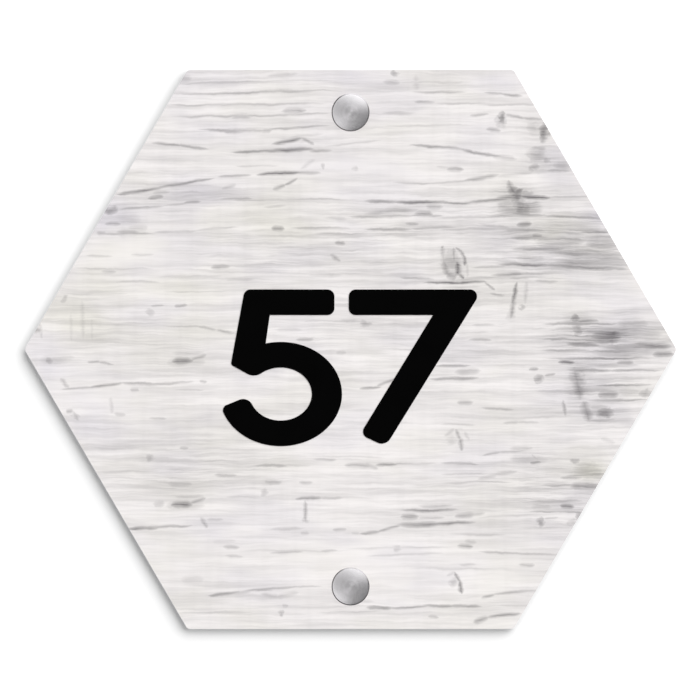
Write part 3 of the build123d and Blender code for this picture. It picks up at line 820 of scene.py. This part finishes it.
def soft_fields(nodes, flat, fields):
    """Wide ovals, each fading from its strength at the centre to nothing, the strongest on top."""
    total = 0.0
    for x, z, half_width, half_height, strength in fields:
        scales = (1 / half_width, 1 / half_height, 0.0)
        unit = flat.vector("MULTIPLY_ADD", scales, (-x / half_width, -z / half_height, 0.0))
        reach = nodes.node("VectorMath", {"operation": "LENGTH"}, {0: unit}, "Value")
        total = reach.math("MULTIPLY_ADD", -strength, strength).math("MAXIMUM", total)
    return total


def stroke_numbers(x0, z0, x1, z1, width, percent):
    """What turns x and z into a place along and across a stroke, each 1 at its edge, and its darkness."""
    core_colour_and_shade = Vector(((x0 + x1) / 2, (z0 + z1) / 2))
    way = Vector((x1 - x0, z1 - z0))
    along = way / way.length_squared * 2
    across = Vector((-way.y, way.x)) / way.length * (2 / (width * STROKE_SPREAD))
    dark = percent / 100
    return along.x, along.y, -along.dot(core_colour_and_shade), across.x, across.y, -across.dot(core_colour_and_shade), dark, -dark


def darkest_strokes(nodes, x, z, strokes, blunt):
    """The darkest of these strokes at each point, worked out three strokes at a time.

    A blunt stroke keeps its width almost to its ends, with its darkest line along its middle.
    The others are ovals.
    """
    every_x = nodes.point(x, x, x)
    every_z = nodes.point(z, z, z)
    darkest = (0.0, 0.0, 0.0)
    for first in range(0, len(strokes), 3):
        three = [stroke_numbers(*stroke) for stroke in strokes[first : first + 3]]
        three += [NO_STROKE] * (3 - len(three))
        x_along, z_along, from_middle, x_across, z_across, from_line, dark, fade = zip(*three)
        along = every_x.vector("MULTIPLY_ADD", x_along, every_z.vector("MULTIPLY_ADD", z_along, from_middle))
        across = every_x.vector("MULTIPLY_ADD", x_across, every_z.vector("MULTIPLY_ADD", z_across, from_line))
        along = along.vector("MULTIPLY", along)
        if blunt:
            reach = along.vector("MULTIPLY_ADD", along, across.vector("ABSOLUTE"))
        else:
            reach = across.vector("MULTIPLY_ADD", across, along)
        darkest = reach.vector("MULTIPLY_ADD", fade, dark).vector("MAXIMUM", darkest)
    first, second, third = nodes.axes(darkest)
    return first.math("MAXIMUM", second).math("MAXIMUM", third)


def hairline(value, level, thickness):
    """1 along the line where a noise crosses this level, and 0 a little way off it."""
    return (1.0 - value.math("SUBTRACT", level).math("ABSOLUTE") * (1 / thickness)).clamped()


def tinted_wash(nodes, plain):
    """The pale wash, drifting to straw in some fields and to lilac in others."""
    tint = nodes.noise(plain, (0.03, 0.07), 14)
    straw = soft_fields(nodes, plain, STRAW_FIELDS) * nodes.ramp(tint, 0.35, 0.6, 0.45, 1.0)
    lilac = soft_fields(nodes, plain, LILAC_FIELDS) * nodes.ramp(tint, 0.65, 0.4, 0.45, 1.0)
    straw = straw + nodes.ramp(tint, 0.5, 0.72) * 0.3
    lilac = lilac + nodes.ramp(tint, 0.5, 0.3) * 0.4
    wash = nodes.blend(straw.clamped(), srgb(*WASH), srgb(*STRAW))
    return nodes.blend(lilac.clamped(), wash, srgb(*LILAC))


def fine_grain(nodes, plain, flat, fibrous):
    """How grey the grain is between the cracks: its layers one on another, under the thick wash."""
    dense = soft_fields(nodes, plain, DENSE_FIELDS)
    crowd = dense * 0.8 + 0.2
    bands = nodes.noise(flat, (0.02, 0.36), 5, roughness=0.7)
    streaks = nodes.noise(flat, (0.036, 0.74), 6, detail=3.0, roughness=0.7)
    streaky = nodes.ramp(streaks, 0.34, 0.68)
    layers = (streaky, STREAK_GREY), (nodes.ramp(bands, 0.36, 0.70), BAND_GREY), (fibrous, FIBRE_GREY)
    grey = 0.0
    for layer, (open_grey, dense_grey) in layers:
        grey = layer * (dense * dense_grey + open_grey) + grey

    patches = nodes.noise(flat, (0.014, 0.10), 4)
    saw_marks = nodes.noise(plain, (0.34, 0.03), 9)
    grey = grey + nodes.ramp(patches, 0.4, 0.7) * PATCH_GREY
    grey = grey + nodes.ramp(saw_marks, 0.4, 0.75) * SAW_GREY
    year_rings = nodes.noise(flat, (0.011, 0.30), 8)
    for level, thickness, darkness in HAIRLINES:
        grey = grey + hairline(year_rings, level, thickness) * crowd * darkness
    grey = grey + soft_fields(nodes, flat, SMUDGES) * (streaky * 0.45 + fibrous * 0.35 + 0.3)
    return grey * (1.0 - soft_fields(nodes, flat, THICK_WASH_FIELDS))


def whitewashed_print():
    """The printed film: a pale wash, fine grey grain, and the cracks and knots drawn over it."""
    material, nodes = new_finish("whitewashed_print")
    x, _, z = nodes.axes(nodes.place())
    plain = nodes.point(x, z)
    sway = nodes.noise(plain, (0.02, 0.05), 1) - 0.5
    ripple = nodes.noise(plain, (0.12, 0.22), 2) - 0.5
    fray = nodes.noise(plain, (0.6, 0.8), 3, detail=4.0, roughness=0.65) - 0.5
    blot = nodes.noise(plain, (0.45, 0.55), 13) - 0.5
    x = x + fray
    z = z + sway * GRAIN_SWAY + ripple + fray * GRAIN_FRAY
    flat = nodes.point(x, z)

    fibres = nodes.noise(flat, (0.08, 2.3), 7)
    fibrous = nodes.ramp(fibres, 0.32, 0.68)
    grey = fine_grain(nodes, plain, flat, fibrous)
    cracks = darkest_strokes(nodes, x, z, CRACKS, blunt=True)
    knots = darkest_strokes(nodes, x + blot * KNOT_BLOT_X, z + blot * KNOT_BLOT_Z, KNOTS, blunt=False)
    worn = fibrous * 0.26 + nodes.ramp(ripple, -0.2, 0.2, 0.66, 0.88)
    strokes = cracks.math("MAXIMUM", knots * KNOT_SHARE) * worn
    inked = 1.0 - (1.0 - grey) * (1.0 - strokes)
    nodes.surface(
        Base_Color=nodes.blend(inked, tinted_wash(nodes, plain), srgb(*INK)),
        Roughness=nodes.ramp(fibres, 0.2, 0.8, 0.5, 0.62),
        Specular_IOR_Level=0.2,
        Normal=nodes.bump(nodes.noise(plain, (1.2, 1.2), 10), 0.01 * MM, 0.5),
    )
    return material


def composite_panel():
    """The board behind the print: a lacquered front skin, a dark sawn core, and a primed back skin. The core
    is dark partly as painted shade, so that the board's sides darken its shadow on the wall along the edges.
    """
    material, nodes = new_finish("composite_panel")
    place = nodes.place()
    _, depth, _ = nodes.axes(place)
    cloud = nodes.noise(place, (0.05, 0.3, 0.05), 11, detail=3.0)
    sawn = nodes.noise(place, (2.4, 0.25, 2.4), 12)
    rolled = nodes.noise(place, (0.012, 0.3, 0.9), 13, detail=4.0, roughness=0.6)
    lacquer = nodes.drift(nodes.ramp(cloud, 0.3, 0.7), LACQUER)
    primer = nodes.drift(nodes.ramp(rolled, 0.3, 0.7), PRIMER)
    # the core's dark colour is partly painted shade for the board's shadow along its edges
    core_colour_and_shade = nodes.drift(nodes.ramp(sawn, 0.3, 0.7), SAWN_CORE_AND_EDGE_SHADE)
    skin = nodes.blend(nodes.ramp(depth, *PRIMER_START), lacquer, primer)
    core_and_shade_mask = nodes.ramp(depth, *CORE_FRONT) * nodes.ramp(depth, *CORE_BACK)
    nodes.surface(
        Base_Color=nodes.blend(core_and_shade_mask, skin, core_colour_and_shade),
        Roughness=nodes.ramp(core_and_shade_mask + cloud * 0.4, 0.1, 1.2, 0.42, 0.72),
        Specular_IOR_Level=0.25,
        Normal=nodes.bump(sawn, 0.03 * MM, 0.5),
    )
    return material


def black_film():
    """Satin black film: a trace of orange peel, and a roughness that drifts."""
    material, nodes = new_finish("black_film")
    place = nodes.place()
    haze = nodes.noise(place, (0.08, 0.08, 0.08), 21, detail=3.0)
    peel = nodes.noise(place, (2.2, 2.2, 2.2), 22)
    nodes.surface(
        Base_Color=nodes.drift(haze, BLACK),
        Roughness=nodes.ramp(haze, 0.3, 0.7, 0.42, 0.55),
        Specular_IOR_Level=0.02,
        Normal=nodes.bump(peel, 0.01 * MM, 0.4),
    )
    return material


def turned_steel(name, height):
    """Brushed steel, its fine rings about the centre of the cap at this height."""
    material, nodes = new_finish(name)
    x, _, z = nodes.axes(nodes.place())
    z = z - height / MM
    radius = (x * x + z * z).math("SQRT")
    rings = nodes.noise(nodes.point(radius), (5.0, 0.0), 31, detail=4.0, roughness=0.7)
    smear = nodes.noise(nodes.point(x, z), (0.5, 0.5), 32)
    nodes.surface(
        Base_Color=nodes.drift(nodes.ramp(rings, 0.3, 0.7), STEEL),
        Metallic=1.0,
        Roughness=nodes.ramp(smear, 0.3, 0.7, 0.16, 0.21),
        Normal=nodes.bump(rings, 0.003 * MM, 0.3),
    )
    return material


def moulded_nylon():
    """The rings' off-white nylon: faint flow clouds and a fine moulded grain."""
    material, nodes = new_finish("moulded_nylon")
    place = nodes.place()
    cloud = nodes.noise(place, (0.6, 0.6, 0.6), 41, detail=3.0)
    grain = nodes.noise(place, (6.0, 6.0, 6.0), 42)
    nodes.surface(
        Base_Color=nodes.drift(cloud, NYLON),
        Roughness=nodes.ramp(cloud, 0.3, 0.7, 0.45, 0.6),
        Normal=nodes.bump(grain, 0.01 * MM, 0.5),
    )
    return material


def zinc_plate():
    """The screws' zinc: a faint yellow bloom, and scratches along the screw."""
    material, nodes = new_finish("zinc_plate")
    place = nodes.place()
    bloom = nodes.noise(place, (0.9, 0.5, 0.9), 51, detail=4.0, roughness=0.6)
    scratch = nodes.noise(place, (3.0, 0.4, 3.0), 52)
    nodes.surface(
        Base_Color=nodes.drift(bloom, ZINC),
        Metallic=1.0,
        Roughness=nodes.ramp(bloom, 0.3, 0.7, 0.22, 0.42),
        Normal=nodes.bump(scratch, 0.01 * MM, 0.4),
    )
    return material


def finish_node(name, material):
    """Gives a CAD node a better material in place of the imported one."""
    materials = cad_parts[name].data.materials
    materials.clear()
    materials.append(material)


def linked_object(name, bm):
    """An object at the origin whose mesh is this bmesh, which is used up."""
    mesh = bpy.data.meshes.new(name)
    bm.to_mesh(mesh)
    bm.free()
    made = bpy.data.objects.new(name, mesh)
    bpy.context.scene.collection.objects.link(made)
    return made


def new_piece(name, bm, material, replaced, crease=USUAL_CREASE_DEGREES):
    """A finished piece in place of a CAD node, smooth but for edges sharper than this many degrees."""
    bmesh.ops.recalc_face_normals(bm, faces=bm.faces)
    piece = linked_object(name, bm)
    piece.data.materials.append(material)
    for polygon in piece.data.polygons:
        polygon.use_smooth = True
    piece.data.set_sharp_from_angle(angle=math.radians(crease))
    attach(piece, "root")
    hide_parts(replaced)
    return piece


def extrude_by(bm, faces, distance, keep):
    """Extrudes these faces along Y by this distance, keeping the old ones where they close the shape."""
    grown = bmesh.ops.extrude_face_region(bm, geom=faces, use_keep_orig=keep)["geom"]
    verts = [part for part in grown if isinstance(part, bmesh.types.BMVert)]
    bmesh.ops.translate(bm, verts=verts, vec=(0, distance, 0))


def faces_at(bm, y):
    """The faces that lie wholly at this depth."""
    return [face for face in bm.faces if all(abs(vert.co.y - y) < SAME_PLACE for vert in face.verts)]


def printed_facing():
    """The film on the board's face: its rounded hexagon, set in by the board's eased edge."""
    rounding_loss = BOARD_CORNER_RADIUS * (1 / math.cos(HEXAGON_TURN / 2) - 1)
    half_width = BOARD_HIGH.x + rounding_loss
    half_height = BOARD_HIGH.z

    bm = bmesh.new()
    upright = FACING_FRONT @ Matrix.Rotation(HEXAGON_TURN / 2, 4, "Z")
    bmesh.ops.create_circle(bm, cap_ends=True, segments=6, radius=1.0, matrix=upright)
    bmesh.ops.scale(bm, verts=bm.verts, vec=(half_width, 1.0, half_height / math.sin(HEXAGON_TURN)))
    bmesh.ops.bevel(
        bm,
        geom=bm.verts[:],
        offset=BOARD_CORNER_RADIUS * math.tan(HEXAGON_TURN / 2),
        segments=CORNER_SEGMENTS,
        profile=0.5,
        affect="VERTICES",
        material=-1,
    )
    rim = bmesh.ops.inset_region(bm, faces=bm.faces[:], thickness=FILM_MARGIN, use_even_offset=True)["faces"]
    bmesh.ops.delete(bm, geom=rim, context="FACES")
    bmesh.ops.translate(bm, verts=bm.verts, vec=(0, FACE_Y, 0))
    extrude_by(bm, bm.faces[:], -FILM_THICKNESS, keep=True)
    return new_piece("printed_facing", bm, whitewashed_print(), "grain_print")


def turn_crown(bm, front, pitch, shares, rises):
    """Turns the flat front into grooved rings from the rim inward, each as much higher as it rises."""
    for share, rise in zip(shares, rises):
        outward = GROOVE_OUTWARD_CENTRE + (GROOVE_OUTWARD_RIM - GROOVE_OUTWARD_CENTRE) * share
        groove = GROOVE_DEPTH_CENTRE + (GROOVE_DEPTH_RIM - GROOVE_DEPTH_CENTRE) * share
        for part, depth in ((1 - outward, -groove), (outward, groove)):
            step = pitch * part
            lift = depth + step * rise
            bmesh.ops.inset_region(bm, faces=front, thickness=step, depth=lift, use_even_offset=True)


def turned_cap(node):
    """A cover cap: a disc extruded from its seat, hollowed behind, and turned in rings to a low crown."""
    low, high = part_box(node)
    centre = (low + high) / 2
    radius = (high.x - low.x) / 2
    land = radius - CAP_CHAMFER
    pitch = land / (GROOVE_COUNT + 0.5)
    shares = [1 - ring / GROOVE_COUNT for ring in range(GROOVE_COUNT)]
    rises = [math.tan(CROWN_TILT * share**CROWN_BEND) for share in shares]
    edge_height = high.y - low.y - pitch * sum(rises)

    bm = bmesh.new()
    bmesh.ops.create_circle(bm, cap_ends=True, segments=CAP_SIDES, radius=radius, matrix=FACING_FRONT)
    extrude_by(bm, bm.faces[:], -edge_height, keep=True)
    hollow = faces_at(bm, 0.0)
    bmesh.ops.inset_region(bm, faces=hollow, thickness=radius - CAP_BORE_R, use_even_offset=True)
    extrude_by(bm, hollow, -CAP_BORE_DEPTH, keep=False)
    bmesh.ops.delete(bm, geom=[face for face in hollow if face.is_valid], context="FACES_ONLY")

    bmesh.ops.bevel(
        bm,
        geom=list({edge for face in faces_at(bm, -edge_height) for edge in face.edges}),
        offset=CAP_CHAMFER,
        segments=1,
        profile=0.5,
        affect="EDGES",
        material=-1,
    )
    turn_crown(bm, faces_at(bm, -edge_height), pitch, shares, rises)
    bmesh.ops.translate(bm, verts=bm.verts, vec=(centre.x, high.y, centre.z))
    steel = turned_steel("turned_steel_" + node, centre.z)
    cap = new_piece("turned_" + node, bm, steel, node, CAP_CREASE_DEGREES)
    cap.visible_shadow = False


def screw_mesh(height, head_y, tip_y):
    """One countersunk screw on the axis at this height: a spun body and a wound ridge for its thread."""
    profile = [
        (0.0, head_y),
        (HEAD_R, head_y),
        (HEAD_R, head_y + HEAD_RIM),
        (SHANK_R, head_y + HEAD_RIM + HEAD_R - SHANK_R),
        (SHANK_R, tip_y - TIP_LENGTH),
        (0.0, tip_y),
    ]
    bm = bmesh.new()
    verts = [bm.verts.new((radius, y, 0)) for radius, y in profile]
    edges = [bm.edges.new(pair) for pair in zip(verts, verts[1:])]
    bmesh.ops.spin(
        bm,
        geom=verts + edges,
        cent=(0, 0, 0),
        axis=(0, 1, 0),
        angle=math.tau,
        steps=SCREW_SIDES,
        use_merge=True,
    )
    bmesh.ops.remove_doubles(bm, verts=bm.verts, dist=SAME_PLACE)
    body = set(bm.verts)

    turns = (tip_y - THREAD_START_Y) / THREAD_PITCH - 1
    ridge = [
        bm.verts.new((THREAD_ROOT_R, THREAD_START_Y, 0)),
        bm.verts.new((THREAD_CREST_R, THREAD_START_Y + THREAD_WIDTH / 2, 0)),
        bm.verts.new((THREAD_ROOT_R, THREAD_START_Y + THREAD_WIDTH, 0)),
    ]
    start = bm.faces.new(ridge)
    bmesh.ops.spin(
        bm,
        geom=[start, *start.edges, *ridge],
        cent=(0, 0, 0),
        axis=(0, 1, 0),
        dvec=(0, THREAD_PITCH / SCREW_SIDES, 0),
        angle=math.tau * turns,
        steps=round(turns * SCREW_SIDES),
    )
    for vert in bm.verts:
        if vert not in body and vert.co.y > tip_y - TIP_LENGTH:
            taper = max(TIP_THREAD_SHARE, (tip_y - vert.co.y) / TIP_LENGTH)
            vert.co.x *= taper
            vert.co.z *= taper
    bmesh.ops.translate(bm, verts=bm.verts, vec=(0, 0, height))
    mesh = bpy.data.meshes.new("one_screw")
    bm.to_mesh(mesh)
    bm.free()
    return mesh


def cut_recesses(piece, heights, head_y):
    """Cuts the cross recess in each head."""
    bm = bmesh.new()
    for height in heights:
        for width, span in ((RECESS_SPAN, RECESS_WIDTH), (RECESS_WIDTH, RECESS_SPAN)):
            made = bmesh.ops.create_cube(bm, size=1.0)["verts"]
            bmesh.ops.scale(bm, verts=made, vec=(width, 2 * RECESS_DEPTH, span))
            bmesh.ops.translate(bm, verts=made, vec=(0, head_y, height))
    cutter = linked_object("recess_cutter", bm)
    cut = piece.modifiers.new("recess", "BOOLEAN")
    cut.operation = "DIFFERENCE"
    cut.solver = "EXACT"
    cut.use_self = True
    cut.object = cutter
    seen = bpy.context.evaluated_depsgraph_get()
    whole = bpy.data.meshes.new_from_object(piece.evaluated_get(seen))
    piece.modifiers.clear()
    piece.data = whole
    bpy.data.objects.remove(cutter)


def threaded_screws():
    """Both screws as one piece, as the node has them."""
    low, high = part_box("fixing_screws")
    upper = high.z - HEAD_R
    heights = (upper, -upper)
    bm = bmesh.new()
    for height in heights:
        mesh = screw_mesh(height, low.y, high.y)
        bm.from_mesh(mesh)
        bpy.data.meshes.remove(mesh)
    piece = new_piece("threaded_screws", bm, zinc_plate(), "fixing_screws")
    cut_recesses(piece, heights, low.y)
    piece.visible_shadow = False


def stage_wall():
    """A white wall behind the plate. From behind it is clear, so that the back can be seen."""
    material, nodes = new_finish("white_wall")
    cloud = nodes.noise(nodes.place(), (0.01, 0.01, 0.01), 61)
    matt = nodes.node("BsdfDiffuse", None, {"Color": nodes.blend(cloud, WHITE, OFF_WHITE)})
    lift = nodes.node("Emission", None, {"Color": WHITE, "Strength": WALL_LIFT})
    lit = nodes.node("AddShader", None, {0: matt, 1: lift})
    clear = nodes.node("BsdfTransparent")
    behind = nodes.node("NewGeometry", output="Backfacing")
    nodes.end(nodes.node("MixShader", None, {0: behind, 1: lit, 2: clear}))

    bm = bmesh.new()
    bmesh.ops.create_grid(bm, x_segments=1, y_segments=1, size=WALL_HALF, matrix=FACING_FRONT)
    bmesh.ops.translate(bm, verts=bm.verts, vec=(0, WALL_GAP, 0))
    wall = linked_object("wall", bm)
    wall.data.materials.append(material)
    wall.visible_shadow = False
    wall.visible_diffuse = False
    wall.visible_glossy = False


def toward(tilt, turn):
    """The direction this many degrees off the face's own, turned from the right toward the top."""
    tilt, turn = math.radians(tilt), math.radians(turn)
    return Vector((math.sin(tilt) * math.cos(turn), -math.cos(tilt), math.sin(tilt) * math.sin(turn)))


def sun(name, strength, angle, source):
    """A lamp that shines from this direction, across this many degrees of sky."""
    data = bpy.data.lights.new(name, "SUN")
    data.energy = strength
    data.angle = math.radians(angle)
    lamp = bpy.data.objects.new(name, data)
    bpy.context.scene.collection.objects.link(lamp)
    lamp.rotation_mode = "QUATERNION"
    lamp.rotation_quaternion = source.to_track_quat("Z", "Y")
    return lamp


def mirrored_room(nodes):
    """How bright the room is where the metal mirrors it."""
    direction = nodes.node("TexCoord", output="Generated")
    x, y, z = nodes.axes(direction)
    room = x * ROOM_RIGHT + z * ROOM_TOP + ROOM_LEVEL + (x * x + z * z) * ROOM_BOWL
    room = room + (x * x - z * z) * ROOM_SADDLE + x * z * ROOM_SLANT
    room = room.math("MAXIMUM", ROOM_DIMMEST).math("MINIMUM", ROOM_BRIGHTEST)
    room = (room - ROOM_SIDES) * nodes.ramp(y, *ROOM_FRONT, 1.0, 0.0) + ROOM_SIDES

    window_way = {0: direction, 1: toward(90.0, WINDOW_TURN)}
    window = nodes.node("VectorMath", {"operation": "DOT_PRODUCT"}, window_way, "Value")
    belt = nodes.ramp(y.math("ABSOLUTE"), *BELT)
    return room * (1.0 - belt) + belt * nodes.ramp(window, *WINDOW_EDGE, SKIRTING_LEVEL, WINDOW_LEVEL)


def light_studio():
    """A wide soft key from above and to the right, and a white room whose fill is weaker than it looks."""
    key = sun("key", KEY_STRENGTH, KEY_ANGLE, toward(KEY_TILT, KEY_TURN))
    key.visible_glossy = False
    sun("behind", BACK_STRENGTH, BACK_ANGLE, Vector(BACK_SOURCE))

    world = bpy.data.worlds.new("studio")
    world.use_nodes = True
    nodes = Nodes(world.node_tree)
    rays = ("Is Camera Ray", "Is Glossy Ray", "Is Transmission Ray")
    camera, glossy, clear = nodes.outputs(nodes.node("LightPath"), *rays)
    fill = (1.0 - glossy) * FILL_STRENGTH
    strength = camera.math("MAXIMUM", clear)
    strength = strength.math("MAXIMUM", glossy * mirrored_room(nodes)).math("MAXIMUM", fill)
    background = nodes.node("Background", None, {"Color": WHITE, "Strength": strength})
    nodes.end(background, "OutputWorld")
    bpy.context.scene.world = world


def place_camera():
    """Square on to the face, far enough off that the photograph's flat view is kept."""
    data = bpy.data.cameras.new("camera")
    data.lens = LENS_MM
    data.sensor_width = SENSOR_MM
    data.clip_start = NEAREST_SEEN
    camera = bpy.data.objects.new("camera", data)
    bpy.context.scene.collection.objects.link(camera)
    camera.location = (-PLATE_RIGHT, FACE_Y - FRAME_WIDTH * LENS_MM / SENSOR_MM, -PLATE_UP)
    camera.rotation_euler = (math.radians(90), 0, 0)
    bpy.context.scene.camera = camera


finish_node("board", composite_panel())
film = black_film()
for name in ("digit_5", "digit_7"):
    finish_node(name, film)
nylon = moulded_nylon()
for name in ("cap_base_upper", "cap_base_lower"):
    finish_node(name, nylon)
    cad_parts[name].visible_shadow = False
printed_facing()
for name in CAP_NODES:
    turned_cap(name)
threaded_screws()
stage_wall()
light_studio()
place_camera()
bpy.context.scene.view_settings.view_transform = "Standard"
